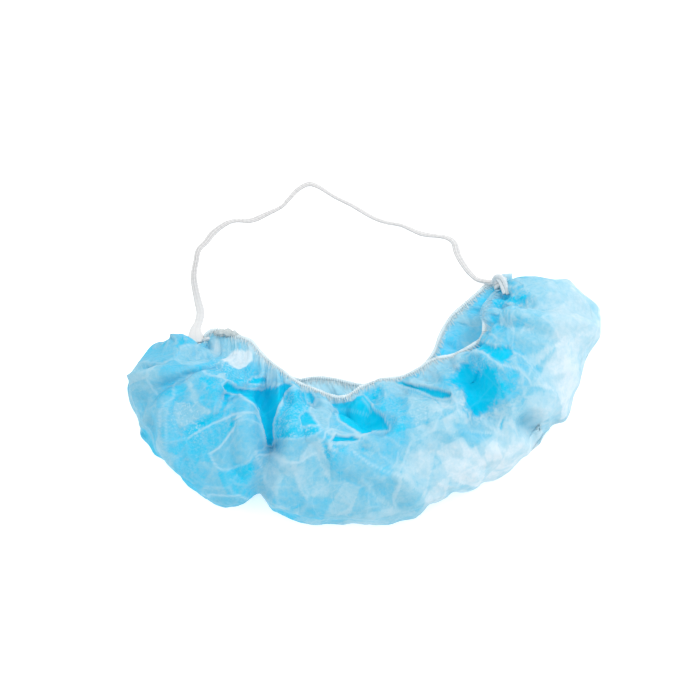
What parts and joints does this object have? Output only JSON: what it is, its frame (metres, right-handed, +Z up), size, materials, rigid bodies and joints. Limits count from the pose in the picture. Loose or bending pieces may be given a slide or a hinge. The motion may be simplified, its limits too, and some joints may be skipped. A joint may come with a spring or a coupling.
{
  "type": "disposable beard net",
  "caption": "Crescent pouch of thin light blue nonwoven cloth with a gathered elastic mouth and a white head elastic tied to both ends, lying flat.",
  "frame": {"origin": "middle of the net's box on the surface it lies on, the head elastic left out", "axes": "+X along the strip from the left lobe to the right one, +Y from the belly towards the mouth and the head elastic, +Z up"},
  "size_m": [0.2618, 0.2054, 0.0506],
  "materials": {
    "net_cloth": "thin sheer light blue spunbond nonwoven",
    "rim_elastic": "white overlocked elastic edge",
    "head_elastic": "white knitted flat elastic"
  },
  "bodies": {
    "root": {"net_pouch": "net_cloth", "rim_elastic": "rim_elastic", "head_elastic": "head_elastic", "tie_left": "head_elastic", "tie_right": "head_elastic"}
  },
  "joints": []
}
